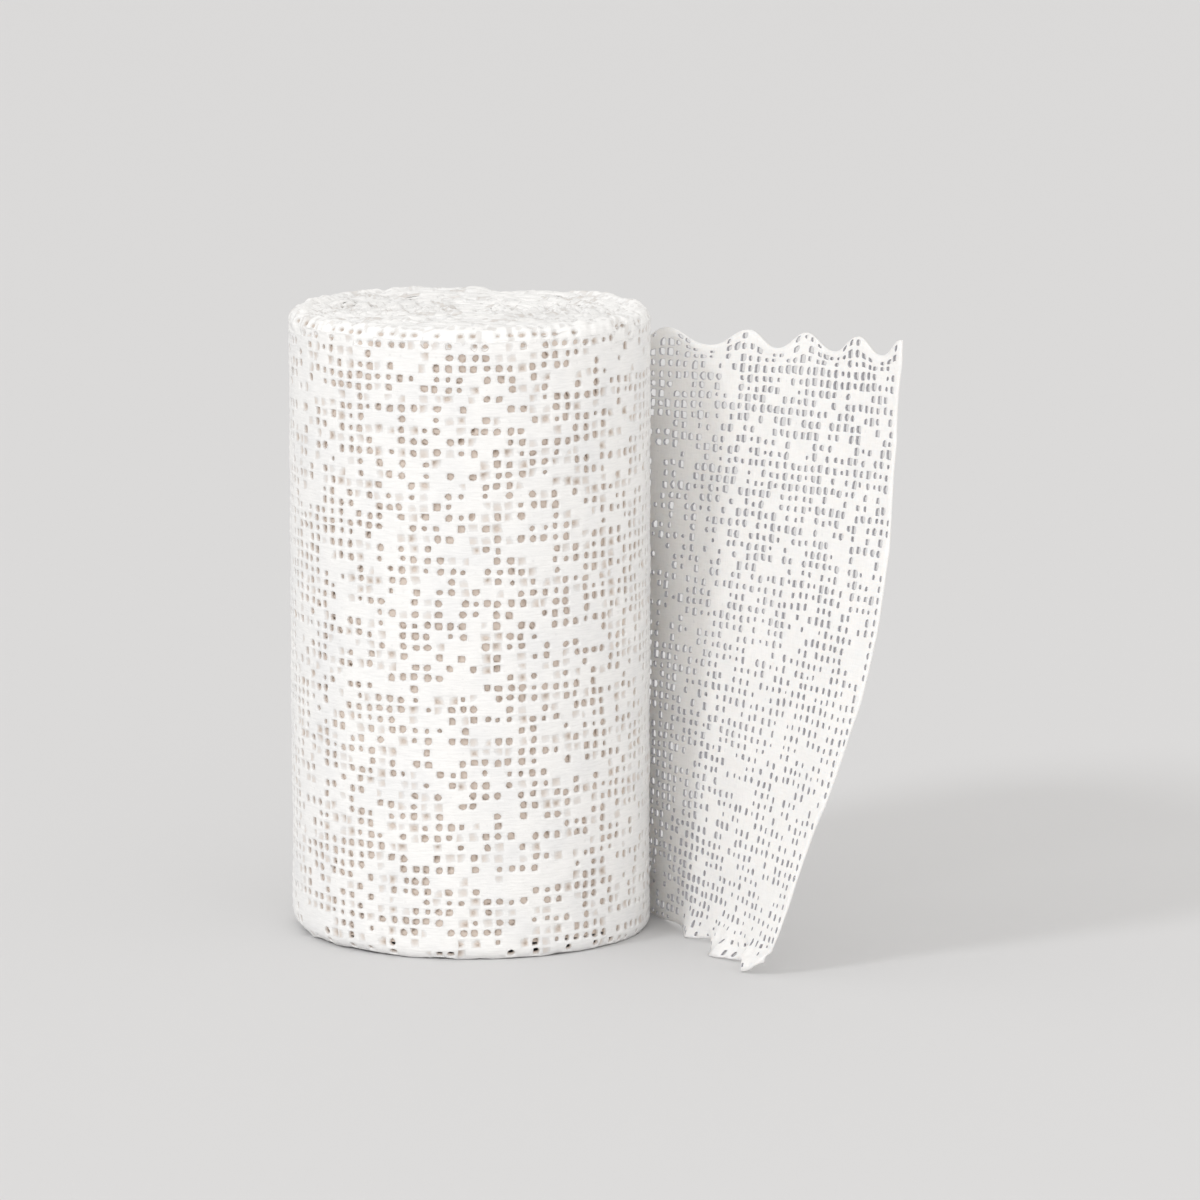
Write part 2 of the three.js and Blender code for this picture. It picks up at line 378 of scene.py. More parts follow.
class Builder:
    """Collects points and faces. Each point keeps its place on the strip and how much painted shade it
    gets, more the deeper in a hole or hollow it lies.
    """

    def __init__(self):
        self.points = []
        self.strip = []
        self.painted_shade = []
        self.faces = []
        self.creases = []
        self.count = 0

    def add(self, points, sigma, v, painted_shade):
        shape = points.shape[:-1]
        self.points.append(points.reshape(-1, 3))
        strip = np.stack([np.broadcast_to(sigma, shape), np.broadcast_to(v, shape)], -1)
        self.strip.append(strip.reshape(-1, 2))
        self.painted_shade.append(np.broadcast_to(painted_shade, shape).reshape(-1))
        index = self.count + np.arange(points.size // 3).reshape(shape)
        self.count += index.size
        return index

    def join(self, *corners, flip=False):
        """Adds faces between three or four arrays of points."""
        rows = np.stack(corners, -1).reshape(-1, len(corners))
        self.faces.append(rows[:, ::-1] if flip else rows)

    def band(self, first, second, flip=False):
        """Joins two rings of points, whose last axis goes round."""
        self.join(first, np.roll(first, -1, -1), np.roll(second, -1, -1), second, flip=flip)

    def fan(self, ring, middle, flip=False):
        middle = np.broadcast_to(middle[..., None], ring.shape)
        self.join(ring, np.roll(ring, -1, -1), middle, flip=flip)

    def mesh(self, name, material):
        points = np.concatenate(self.points) * MM
        corners = np.concatenate([rows.reshape(-1) for rows in self.faces])
        used, loops = np.unique(corners, return_inverse=True)
        sizes = np.concatenate([np.full(len(rows), rows.shape[1]) for rows in self.faces])
        starts = np.cumsum(sizes) - sizes
        mesh = bpy.data.meshes.new(name)
        mesh.vertices.add(len(used))
        mesh.vertices.foreach_set("co", points[used].astype(np.float32).ravel())
        mesh.loops.add(len(loops))
        mesh.loops.foreach_set("vertex_index", loops.astype(np.int32))
        mesh.polygons.add(len(sizes))
        mesh.polygons.foreach_set("loop_start", starts.astype(np.int32))
        mesh.polygons.foreach_set("loop_total", sizes.astype(np.int32))
        mesh.update(calc_edges=True)
        mesh.validate()
        mesh.shade_smooth()
        if self.creases:
            edges = np.empty(2 * len(mesh.edges), np.int32)
            mesh.edges.foreach_get("vertices", edges)
            keys = np.sort(edges.reshape(-1, 2), -1) @ [len(used), 1]
            creased = np.searchsorted(used, np.sort(np.concatenate(self.creases), -1)) @ [len(used), 1]
            sharp = mesh.attributes.new("sharp_edge", "BOOLEAN", "EDGE").data
            sharp.foreach_set("value", np.isin(keys, creased))
        strip = np.concatenate(self.strip)[used]
        place = mesh.attributes.new("strip", "FLOAT_VECTOR", "POINT").data
        place.foreach_set("vector", np.c_[strip, np.zeros(len(strip))].astype(np.float32).ravel())
        painted_shade = mesh.attributes.new("painted_shade", "FLOAT", "POINT").data
        painted_shade.foreach_set("value", np.concatenate(self.painted_shade)[used].astype(np.float32))
        mesh.materials.append(material)
        piece = add_object(name, mesh)
        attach(piece, "root")
        return piece


def hole_rings(weave, c, k, sigma, v):
    """The outline of each hole on the strip, as eight points round its middle."""
    spot = spot_of(c, k)
    shift = weave.shift[spot]
    reach = weave.radius[spot] * np.where(RING_CORNER, weave.corner[spot], 1.0)
    middle_s = sigma.mean(-1) + shift[..., 0]
    middle_v = v.mean(-1) + shift[..., 1]
    dx = RING_SIDE[:, 0] * reach * weave.half_wide[spot][..., None]
    dy = RING_SIDE[:, 1] * reach * weave.half_high[spot][..., None]
    room_s = COLUMN / 2 - THREAD_BESIDE
    room_v = ROW / 2 - THREAD_ABOVE
    dx = np.clip(shift[..., :1] + dx, -room_s, room_s) - shift[..., :1]
    dy = np.clip(shift[..., 1:] + dy, -room_v, room_v) - shift[..., 1:]
    return middle_s, middle_v, dx, dy


def gauze_face(builder, weave, cells, place, lattice_out, *, state, depth, shallow, flip):
    """One face of the gauze over these cells. Open holes have a floor at this depth, or go right through
    where it is 0, and filled ones are shallow deep. Returns the thread grid's points, its first place, and
    the lips of the open holes."""
    c, k = cells
    i = 2 * c[:, None] + RING[:, 0]
    j = 2 * k[:, None] + RING[:, 1]
    i_all = np.arange(i.min(), i.max() + 1 + SPARE_POINTS)
    j_all = np.arange(j.min(), j.max() + 1)
    grid_i, grid_j = np.meshgrid(i_all, j_all, indexing="ij")
    grid_s, grid_v = weave.lattice(grid_i, grid_j)
    grid_out = lattice_out(grid_s, grid_v, weave.height(grid_i, grid_j))
    # The sunk middles of the cells get a little painted shade.
    dent_shade = 0.28 * weave.dent(grid_i, grid_j)
    lattice = builder.add(place(grid_s, grid_v, grid_out), grid_s, grid_v, dent_shade)
    at = (i - i_all[0], j - j_all[0])
    ring = lattice[at]
    ring_s = grid_s[at]
    ring_v = grid_v[at]
    ring_out = grid_out[at]
    closed = state == CLOSED
    middle = lattice[2 * c[closed] + 1 - i_all[0], 2 * k[closed] + 1 - j_all[0]]
    builder.fan(ring[closed], middle, flip)
    lips = None
    for kind in (FILLED, OPEN):
        chosen = state == kind
        if not chosen.any():
            continue
        cs, ks = c[chosen], k[chosen]
        size_v = (ring_v[chosen].max(-1) - ring_v[chosen].min(-1)) / ROW
        mid_s, mid_v, dx, dy = hole_rings(weave, cs, ks, ring_s[chosen], ring_v[chosen])
        dy = dy * np.clip(size_v, 0.3, 1.1)[..., None]
        level = ring_out[chosen].mean(-1)[..., None]

        def ring_at(size, out, painted_shade):
            s = mid_s[..., None] + dx * size
            vv = mid_v[..., None] + dy * size
            return builder.add(place(s, vv, out), s, vv, painted_shade)

        if kind == FILLED:
            fill = weave.fill[spot_of(cs, ks)]
            shift = weave.shift[spot_of(cs, ks)]
            pit = fill > 0.72
            depth_here = np.where(pit, 1.0, 0.25 + 0.6 * fill)
            # Painted shade in the part-filled holes: darker the deeper they are, and darker on the side
            # towards which each hole is shifted.
            one_side = shift @ RING_SIDE.T
            tone = np.clip(0.33 + 0.30 * fill[:, None] + one_side, 0.15, 0.9)
            slope = ring_at(0.90, level - shallow * depth_here[:, None], tone)
            lean_s, lean_v = 1.7 * shift.T
            bottom_s = mid_s + lean_s * pit
            bottom_v = mid_v + lean_v * pit
            bottom_out = level[..., 0] - shallow * (1.3 * depth_here + 0.4 * pit)
            bottom_shade = np.where(pit, 1.0, 0.42 + 0.35 * fill)
            bottom = place(bottom_s, bottom_v, bottom_out)
            bottom = builder.add(bottom, bottom_s, bottom_v, bottom_shade)
            builder.band(ring[chosen], slope, flip)
            builder.fan(slope, bottom, flip)
            continue
        # Painted shade in the open holes: none on the rim, some on the lip, most on the floor, and dark
        # walls where a hole goes right through.
        rim = ring_at(HOLE_RIM, level - 0.02, 0.0)
        lips = ring_at(1.0, level - 0.14 * bool(depth) - 0.03, 0.35 if depth else 0.9)
        builder.band(ring[chosen], rim, flip)
        builder.band(rim, lips, flip)
        if depth:
            floor = ring_at(0.80, np.full_like(level, -depth), 1.0)
            builder.band(lips, floor, flip)
    return lattice, (i_all[0], j_all[0]), lips


def mix_colour(tree, kind, factor, a, b):
    node = tree.nodes.new("ShaderNodeMix")
    node.data_type = "RGBA"
    node.blend_type = kind
    for socket, value in ((node.inputs[0], factor), (node.inputs[6], a), (node.inputs[7], b)):
        if isinstance(value, bpy.types.NodeSocket):
            tree.links.new(value, socket)
        elif isinstance(value, tuple):
            socket.default_value = (*value, 1)
        else:
            socket.default_value = value
    return node.outputs[2]


def map_range(tree, value, low, high, to_low, to_high):
    node = tree.nodes.new("ShaderNodeMapRange")
    tree.links.new(value, node.inputs[0])
    for socket, number in zip(node.inputs[1:5], (low, high, to_low, to_high)):
        socket.default_value = number
    return node.outputs[0]


def noise_texture(tree, vector, scale, detail, stretch=None):
    if stretch:
        mapping = tree.nodes.new("ShaderNodeMapping")
        mapping.inputs["Scale"].default_value = stretch
        tree.links.new(vector, mapping.inputs["Vector"])
        vector = mapping.outputs[0]
    node = tree.nodes.new("ShaderNodeTexNoise")
    node.inputs["Scale"].default_value = scale
    node.inputs["Detail"].default_value = detail
    tree.links.new(vector, node.inputs["Vector"])
    return node.outputs[0]


def plaster(name, light, shade, painted_shade_near, painted_shade_deep, across=0.0, translucent=0.0):
    """Dry plaster on gauze: white with cooler patches and fine fibres along the strip. Painted shade
    darkens it where its points are marked as deep: a little in the dents, and to a warm or grey tone in
    the holes and hollows."""
    material = bpy.data.materials.new(name)
    material.use_nodes = True
    tree = material.node_tree
    shader = tree.nodes["Principled BSDF"]
    strip = tree.nodes.new("ShaderNodeAttribute")
    strip.attribute_name = "strip"
    painted_shade = tree.nodes.new("ShaderNodeAttribute")
    painted_shade.attribute_name = "painted_shade"
    place = strip.outputs["Vector"]
    patches = noise_texture(tree, place, 0.13, 3)
    fibres = noise_texture(tree, place, 1.0, 4, (0.45, 3.4, 1))
    if across:
        fibres = mix_colour(tree, "MIX", across, fibres, noise_texture(tree, place, 1.0, 4, (3.0, 0.5, 1)))
    grain = noise_texture(tree, place, 5.0, 3)
    colour = mix_colour(tree, "MIX", map_range(tree, patches, 0.42, 0.68, 0, 1), light, shade)
    dull = map_range(tree, fibres, 0.38, 0.70, 1.0, 0.935)
    colour = mix_colour(tree, "MULTIPLY", 1.0, colour, dull)
    # Painted shade: the deeper a point is marked, the more its colour goes over to the darker tones below.
    painted_shade_tones = (
        (0.19, 0.28, "MULTIPLY", (0.915, 0.925, 0.935)),
        (0.2, 0.6, "MIX", painted_shade_near),
        (0.6, 1.0, "MIX", painted_shade_deep),
    )
    for low, high, kind, tone in painted_shade_tones:
        depth = map_range(tree, painted_shade.outputs["Fac"], low, high, 0, 1)
        colour = mix_colour(tree, kind, depth, colour, tone)
    tree.links.new(colour, shader.inputs["Base Color"])
    tree.links.new(map_range(tree, grain, 0.3, 0.7, 0.8, 0.97), shader.inputs["Roughness"])
    shader.inputs["Specular IOR Level"].default_value = 0.25
    shader.inputs["Subsurface Weight"].default_value = translucent
    shader.inputs["Subsurface Radius"].default_value = (1.0, 0.92, 0.85)
    shader.inputs["Subsurface Scale"].default_value = 0.0006
    normal = None
    for height, strength, distance in ((fibres, 0.7, 0.00012), (grain, 0.5, 0.00005)):
        bump = tree.nodes.new("ShaderNodeBump")
        bump.inputs["Strength"].default_value = strength
        bump.inputs["Distance"].default_value = distance
        tree.links.new(height, bump.inputs["Height"])
        if normal:
            tree.links.new(normal, bump.inputs["Normal"])
        normal = bump.outputs[0]
    tree.links.new(normal, shader.inputs["Normal"])
    return material


# The tones that the holes and hollows take on are painted shade: warm on the roll, grey on the loose end.
white_plaster = plaster("white_plaster", (0.90, 0.895, 0.885), (0.85, 0.85, 0.85),
                        (0.70, 0.65, 0.61), (0.45, 0.37, 0.31))
# The turn seen through the holes is the same gauze in a darker tan copy of the plaster: painted shade for
# the dim inside of the holes, warmed where the cloth shows under the plaster.
painted_shade_under_plaster = plaster("painted_shade_under_plaster", (0.68, 0.595, 0.53), (0.61, 0.53, 0.47),
                        (0.56, 0.47, 0.40), (0.36, 0.28, 0.22))
# The edges at the top and foot: a slightly brighter copy of the white plaster, painted light that makes
# the top brighter.
painted_light_edge_plaster = plaster("painted_light_edge_plaster", (0.94, 0.935, 0.925), (0.885, 0.885, 0.88),
                       (0.76, 0.742, 0.722), (0.46, 0.38, 0.32))
# The loose end: its hole walls are dark grey with painted shade.
loose_plaster = plaster("loose_plaster", (0.90, 0.89, 0.875), (0.86, 0.855, 0.845),
                        (0.66, 0.66, 0.67), (0.36, 0.36, 0.39), across=0.55, translucent=0.5)

strip_weave = Weave(closed=0.30, filled=0.22)
under_weave = Weave(closed=0.45, filled=0.55)


def lift_column(k):
    """The column of this row at the lift line."""
    return np.ceil(WRAP_RADIUS * lift_angle((k + 0.5) * ROW) / COLUMN - 0.5).astype(int)


def seam_column(k):
    """The first column of this row that belongs to the sheet of the loose end, which has two faces. At the
    top it starts where the outer turn's edge comes free."""
    return lift_column(k) - np.rint(FREE_COLUMNS * smoothstep(k, FREE_ROW, FOLD_ROW)).astype(int)


def joined(rows):
    """The cells of a list of rows, as all their columns and all their row numbers."""
    columns = np.concatenate([columns for columns, k in rows])
    return columns, np.concatenate([np.full(len(columns), k) for columns, k in rows])


def roll_cells():
    """The cells of the outer turn, from a little before the lift line to one turn later."""
    rows = []
    for k in range(-ROWS_UNDER, ROWS):
        row = max(k, 0)
        start = lift_column(row) - TURN_COLUMNS - OVERLAP
        columns = np.arange(start, seam_column(row))
        turn = turn_of(cell_run(columns, row))
        if k < 0:
            columns = columns[folded_in(turn) > 0.85]
        if k >= FOLD_ROW:
            stays = noise_c(columns, k, 3.5, 1.3) > (0.0 if k == FOLD_ROW else 1.0)
            columns = columns[(turn > FREE_TURN) | stays]
        rows.append((columns, k))
    return joined(rows)


def roll_relief(sigma, v, height):
    """Adds the crumple of the folded edges to the height of the plaster."""
    top = smoothstep(v, 95.5, 100)
    foot = 1 - smoothstep(v, -1, 2.5)
    crumple = 0.42 * noise_b(sigma, v, 2.9, 1.6) + 0.30 * noise_c(sigma, v, 6.5, 3.2)
    return height + 0.4 * top * crumple + 0.5 * foot * crumple


def sheet_relief(sigma, v, height):
    """The height of the plaster on the loose end, which is flatter than on the roll."""
    return lerp(roll_relief(sigma, v, height), 0.6 * height, smoothstep(run_of(sigma, v), -3, 8))


def outer_turn():
    """The turn of gauze that shows on the wall, with both its edges folded in but for the free part."""
    builder = Builder()
    cells = roll_cells()
    state = strip_weave.state[spot_of(*cells)]
    k = cells[1]
    chance = rng.uniform(0, 1, len(state))
    state[k == -ROWS_UNDER] = CLOSED
    state[((k == 0) | (k == ROWS - 1)) & (chance < EDGE_CLOSED)] = CLOSED
    state[((k == 0) | (k == -1)) & (chance > 1 - EDGE_OPEN)] = OPEN
    turn = turn_of(cell_run(*cells))
    state[(turn < 0.05) & (k > FOLD_ROW - 4) & (state == OPEN)] = FILLED
    lattice, corner, _ = gauze_face(
        builder, strip_weave, cells, roll_point, roll_relief,
        state=state, depth=LAYER, shallow=0.36, flip=True,
    )
    turn_in_border(builder, strip_weave, cells, lattice, corner, roll_point)
    piece = builder.mesh("outer_turn", white_plaster)
    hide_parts("wound_roll")


def turn_in_border(builder, weave, cells, lattice, corner, place):
    """Bends the upper border of a turn inwards, so that no gap shows behind it."""
    there = set(zip(cells[0].tolist(), cells[1].tolist()))
    edges = []
    for c, k in sorted(there):
        if k < FOLD_ROW - 1:
            continue
        i, j = 2 * c, 2 * k
        if (c, k + 1) not in there:
            edges.append([(i + 2, j + 2), (i + 1, j + 2), (i, j + 2)])
        if (c + 1, k) not in there and c + 1 != seam_column(k):
            edges.append([(i + 2, j), (i + 2, j + 1), (i + 2, j + 2)])
        if (c - 1, k) not in there:
            edges.append([(i, j + 2), (i, j + 1), (i, j)])
    i, j = np.moveaxis(np.array(edges), -1, 0)
    border = lattice[i - corner[0], j - corner[1]]
    sigma, v = weave.lattice(i, j)
    # The bent-in border gets some painted shade.
    inside = builder.add(place(sigma, v, -LAYER), sigma, v, 0.3)
    builder.join(border[:, 1:], border[:, :-1], inside[:, :-1], inside[:, 1:], flip=True)


def folded_edge():
    """The upper edge of the roll, folded in and crumpled. Near the lift line, where the outer turn's own
    edge stands free, it is the edge of the turn below."""
    builder = Builder()
    part = np.arange(FOLD_AROUND) / FOLD_AROUND
    straight = np.array([0, 0.2, 0.4, 0.6, 0.8])
    bent = np.linspace(0, 1, FOLD_ACROSS)
    whole = SHOULDER * FOLD_BEND + FOLD_LENGTH
    angle = math.radians(LIFT_TOP) + math.tau * part
    x, y = plane(LEAST_RADIUS, angle)
    tips = (1 + np.cos(EDGE_LOBES * angle + 2.2 * noise_a(x, y, 14.0))) / 2
    uneven = 0.20 * noise_b(x, y, 3.0) + 0.08 * noise_b(x, y, 1.1)
    ends = whole - FOLD_LENGTH * (0.62 - 0.50 * tips + uneven)
    rows = [FOLD_START + (SHOULDER_START - FOLD_START) * t + 0 * ends for t in straight]
    rows += [SHOULDER_START + ends * t for t in bent]
    pressed = 0.75 * smoothstep(np.concatenate([0 * straight, bent]), 0.55, 1.0)
    v = np.stack(rows, -1)
    part = np.broadcast_to(part[:, None], v.shape)
    sigma = WRAP_RADIUS * (math.radians(LIFT_TOP) + (part - 1) * math.tau)
    sigma = sigma + run_of(0, STRIP_WIDTH) - run_of(0, v)
    drop = turn_below_drop(part)
    flat = roll_point(sigma, v, 0.0, drop, 1.0)
    x, y = flat[..., 0], flat[..., 1]
    past = smoothstep(v, 96.0, 98.6)
    crumple = 0.15 * noise_a(x, y, 3.4) + 0.20 * noise_b(x + 40, y, 1.7) + 0.16 * noise_c(x, y + 70, 0.9)
    pits = fold_pits(sigma, v) * smoothstep(v, 96.5, 97.1)
    out = lerp(-0.35, 0.0, smoothstep(v, 96.5, 98.2)) + past * crumple - 0.5 * pits - pressed
    top = roll_point(sigma, v, out, drop, 1.0)
    # Painted shade in the weave's holes on the folded edge and, past the shoulder, in its small pits.
    index = builder.add(top, sigma, v, np.maximum(pits, past * 0.58 * small_pits(x, y)))
    rings = list(index.T)
    # The rim of the cloth, and its underside back to the fourth row from the end, with a little painted
    # shade on the rim and more on the underside
    for row, beyond, inside, painted_shade in ((-1, 0.1, FOLD_THICK / 2, 0.1), (-4, 0, FOLD_THICK, 0.4)):
        s, height = sigma[:, row], v[:, row]
        points = roll_point(s, height + beyond, out[:, row] - inside, drop[:, row], 1.0)
        rings.append(builder.add(points, s, height, painted_shade))
    rings = np.array(rings)
    builder.band(rings[:-1], rings[1:], True)
    piece = builder.mesh("folded_edge", painted_light_edge_plaster)


def fold_pits(sigma, v):
    """How deep in one of the weave's holes a place on the folded edge is, from 0 to 1."""
    c = np.floor(sigma / COLUMN).astype(int)
    k = np.floor(v / ROW).astype(int)
    k = np.clip(k, 0, ROWS + ROWS_OVER - 1)
    spot = spot_of(c, k)
    shift = strip_weave.shift[spot]
    ds = (sigma - shift[..., 0]) / COLUMN - c - 0.5
    dv = (v - shift[..., 1]) / ROW - k - 0.5
    there = strip_weave.state[spot] != CLOSED
    apart = (ds**2 + dv**2) / (0.50 * strip_weave.half_wide[spot]) ** 2
    return there * np.exp(-(apart**2)) * lerp(1, 0.5, smoothstep(v, 99, 101))


def turn_below_drop(turn):
    """How much nearer the axis the gauze below is, where the outer turn's upper edge stands free."""
    return TURN_STEP * smoothstep(turn, FREE_TURN - 0.02, FREE_TURN + 0.15)


def under_drop(sigma, v):
    near_top = smoothstep(v, (BELOW_ROW - 4) * ROW, (BELOW_ROW + 1) * ROW)
    return LAYER + near_top * turn_below_drop(turn_of(run_of(sigma, v)))


def inner_turn(name, rows, place, material, shallow, bent_in):
    """A stretch of gauze behind the outer turn. Its upper border is bent in where that shows."""
    builder = Builder()
    cells = joined(rows)
    state = under_weave.state[spot_of(*cells)]
    state[cells[1] >= FOLD_ROW] = CLOSED
    lattice, corner, _ = gauze_face(
        builder, under_weave, cells, place, lambda sigma, v, height: height,
        state=state, depth=UNDER_DEPTH, shallow=shallow, flip=True,
    )
    if bent_in:
        turn_in_border(builder, under_weave, cells, lattice, corner, place)
    piece = builder.mesh(name, material)


def turn_below():
    """The stretch of the turn below that shows above the outer turn's free edge."""
    rows = []
    for k in range(BELOW_ROW - 3, FOLD_ROW):
        last = lift_column(k) - OVERLAP + 1
        columns = np.arange(last - TURN_COLUMNS // 4, last)
        rows.append((columns[turn_of(cell_run(columns, k)) > FREE_TURN], k))

    def place(sigma, v, out):
        return roll_point(sigma, v, out - 0.2, turn_below_drop(turn_of(run_of(sigma, v))), 1.0)

    inner_turn("turn_below", rows, place, white_plaster, shallow=0.35, bent_in=True)


def under_turn():
    """The turn that shows through the holes of the outer one."""
    rows = []
    for k in range(1, ROWS):
        last = lift_column(k)
        spare = OVERLAP if k < FOLD_ROW - 1 else 0
        columns = np.arange(last - TURN_COLUMNS - spare, last)
        turn = turn_of(cell_run(columns, k))
        rows.append((columns[(turn < FREE_TURN) | (k < BELOW_ROW)], k))

    def place(sigma, v, out):
        sigma = sigma + 0.9
        return roll_point(sigma, v + 0.6, out, under_drop(sigma, v))

    inner_turn("under_turn", rows, place, painted_shade_under_plaster, shallow=0.25, bent_in=False)


def top_dip(radius, angle):
    twist = (1 - np.cos(math.tau * (radius / RIDGE_PITCH - angle / math.tau))) / 2
    near_rim = smoothstep(radius, LEAST_RADIUS - 6, LEAST_RADIUS - 2)
    tips = EDGE_LOBE_DIP * (1 - np.cos(EDGE_LOBES * angle)) / 2
    eye = EYE_DEPTH * (1 - smoothstep(radius, 0, EYE_RADIUS))
    return RIDGE_HEIGHT * twist * (1 - near_rim) + tips * near_rim + eye


# The edges of the inner turns, as one ribbon wound in a spiral with fewer rounds than the roll has turns,
# and the bed that it stands in
TOP_EDGES_RADIUS = 27.6
FOOT_EDGES_RADIUS = 25.0
TOP_STEP = 0.42  # from one section of the ribbon to the next
FOOT_STEP = 1.2
INNER_RADIUS = 1.2
RIBBON_PITCH = 0.8
RIBBON_THICK = 0.26
RIBBON_DEPTH = 1.5
BED_DEPTH = 0.1
BED_AROUND = 380
BED_ACROSS = 110


def small_pits(x, y):
    """Where the crumpled edges have small pits, from 0 to 1. They get painted shade; only the bed is also
    sunk there.
    """
    return smoothstep(noise_c(x, y, 0.8, 0.6) + 0.5 * noise_a(x, y, 3.1), 0.30, 0.70)


class TurnEdges:
    """The height to which the edges of the inner turns reach, at the top or, turned over, at the foot."""

    def __init__(self, outer_radius):
        self.outer_radius = outer_radius
        self.wide = Noise()

    def __call__(self, radius, angle):
        x, y = plane(radius, angle)
        rim = np.maximum(0, radius - (self.outer_radius - 4.0))
        crest = STRIP_WIDTH - 0.15 - top_dip(radius, angle) * 0.6 - 0.03 * rim**2
        return crest + 0.24 * self.wide(x + 30, y + 40, 5.0) + 0.16 * self.wide(x + 80, y + 140, 2.1)


def to_end(z, top, least=LEAST_HEIGHT):
    """The height z at the top, or its mirror image at the foot, within the reach of the part."""
    return np.minimum(z, STRIP_WIDTH + 0.8) if top else np.maximum(STRIP_WIDTH - z + 0.1, least)


def turn_bed(name, edges, top):
    """The floor of the hollows between the turns' edges, with painted shade in its small pits and at the
    middle.
    """
    builder = Builder()
    around = BED_AROUND if top else BED_AROUND // 2
    radii = np.linspace(0.2, edges.outer_radius + 0.6, BED_ACROSS)
    radius, part = np.meshgrid(radii, np.arange(around) / around, indexing="ij")
    angle = part * math.tau
    x, y = plane(radius, angle)
    z = edges(radius, angle) - BED_DEPTH + 0.26 * noise_b(x, y, 1.5) + 0.14 * noise_a(x, y, 0.8)
    small_pit = small_pits(x, y)
    points = np.stack([x, y, to_end(z - 0.15 * small_pit, top, 0.1)], -1)
    index = builder.add(points, x, y, 0.15 + 0.5 * small_pit)
    builder.band(index[:-1], index[1:], top)
    middle = builder.add(np.array([0, 0, to_end(z[0].mean(), top)]), 0, 0, 0.45)
    builder.fan(index[0], middle, not top)
    piece = builder.mesh(name, painted_light_edge_plaster)


def edge_spiral(name, edges, step, top):
    """The wavy edges of the turns, wound inwards in one long ribbon. Its tips are folded over towards the
    axis, so that they lie on the next turns."""
    builder = Builder()
    turns = (edges.outer_radius - INNER_RADIUS) / RIBBON_PITCH
    angle = 0.0
    angles = []
    while angle < turns * math.tau:
        angles.append(angle)
        angle += step / (INNER_RADIUS + RIBBON_PITCH * angle / math.tau)
    angle = np.array(angles)
    radius = INNER_RADIUS + RIBBON_PITCH * angle / math.tau
    arc = np.concatenate([[0], np.cumsum(np.diff(angle) * radius[1:])])
    tips = np.cumsum(rng.uniform(4, 12, int(arc[-1] / 7) + 4)) - 8
    x, y = plane(radius, angle)
    own_a = Noise()
    own_b = Noise()

    def along(wave, row):
        return own_b(arc, arc * 0 + 60.0 * row, wave, 50)

    near_axis = smoothstep(radius, 1.5, 6)
    sway = 0.42 * own_a(x, y, 7.0) + 0.25 * own_a(x + 50, y, 2.6) + 0.16 * along(1.3, 1)
    sway = near_axis * sway
    fold = lobe(tips, arc) * (0.65 + 0.35 * along(9.0, 2))
    length = 0.7 + 1.7 * fold + 0.35 * along(1.5, 3)
    length = np.maximum(length * lerp(0.4, 1, near_axis), 0.25)
    lean = np.radians(76 + 11 * own_a(x, y + 90, 3.6) + 10 * along(2.2, 4))
    crest = edges(radius, angle) + 0.14 * along(3.0, 5) + 0.10 * along(0.9, 6)
    half = RIBBON_THICK / 2
    rise = 0.5 * length * np.cos(lean * 0.85) - 0.15
    droop = length * (0.33 + 0.15 * own_b(x + 11, y, 1.9))
    # The middle line of the ribbon's section: how far in and how far up, its lean there and its painted
    # shade, darker deeper down between the ribbons
    section = [
        (0 * length, -RIBBON_DEPTH, 0 * lean, 0.5),
        (0 * length, -0.7, 0 * lean, 0.4),
        (0.12 * length, -0.15, lean * 0.5, 0.2),
        (0.12 * length + 0.5 * length * np.sin(lean * 0.85), rise, lean, 0.05),
        (0.12 * length + 0.9 * length * np.sin(lean), rise - droop, lean * 1.5, 0.0),
    ]
    outer_side, inner_side = [], []
    for inwards, upwards, tilt, painted_shade in section:
        for side, rows in ((1, outer_side), (-1, inner_side)):
            r = np.maximum(radius + sway - inwards + side * half * np.cos(tilt), 0.15)
            z = to_end(crest + upwards + side * half * np.sin(tilt), top, 0.08 + 0.05 * side)
            points = np.stack([*plane(r, angle), z], -1)
            # The inner side, under the folded tips, gets more painted shade, and so do the small pits.
            shade = np.maximum(painted_shade + 0.12 * (side < 0), 0.66 * small_pits(*points.T[:2]))
            rows.append(builder.add(points, arc, z, shade))
    inwards, upwards, tilt, _ = section[-1]
    r = np.maximum(radius + sway - inwards - half * 0.9 * np.sin(tilt), 0.12)
    z = to_end(crest + upwards + half * 0.9 * np.cos(tilt), top)
    crest_row = builder.add(np.stack([*plane(r, angle), z], -1), arc, z, 0.0)
    rows = np.stack(outer_side + [crest_row] + inner_side[::-1])
    builder.join(rows[:-1, :-1], rows[:-1, 1:], rows[1:, 1:], rows[1:, :-1], flip=top)
    for end, flip in ((0, not top), (-1, top)):
        line = rows[:, end]
        back = line[::-1]
        last = len(line) // 2 - 1
        builder.join(line[:last], line[1 : last + 1], back[1 : last + 1], back[:last], flip=flip)
        builder.join(*line[last : last + 3], flip=flip)
    piece = builder.mesh(name, painted_light_edge_plaster)


def cut_sigma(v):
    """Where the strip is cut off."""
    up = np.clip(v / STRIP_WIDTH, 0, 1)
    length = at_height(LENGTH, up) + CUT_WAVE * np.sin(3 * math.pi * up)
    return length + WRAP_RADIUS * lift_angle(v) + 0.25 * noise_c(v, v * 0, 4.0, 50)


CUT_MARGIN = 0.3
LEAST_CUT_HOLE = 1.15
SMALL_HOLES = 0.22  # share of the roll's closed cells that have a small hole on the loose end


def last_index(j):
    """The last point of the thread grid before the cut on this line."""
    return math.floor((cut_sigma(j * ROW / 2) - CUT_MARGIN) / (COLUMN / 2))


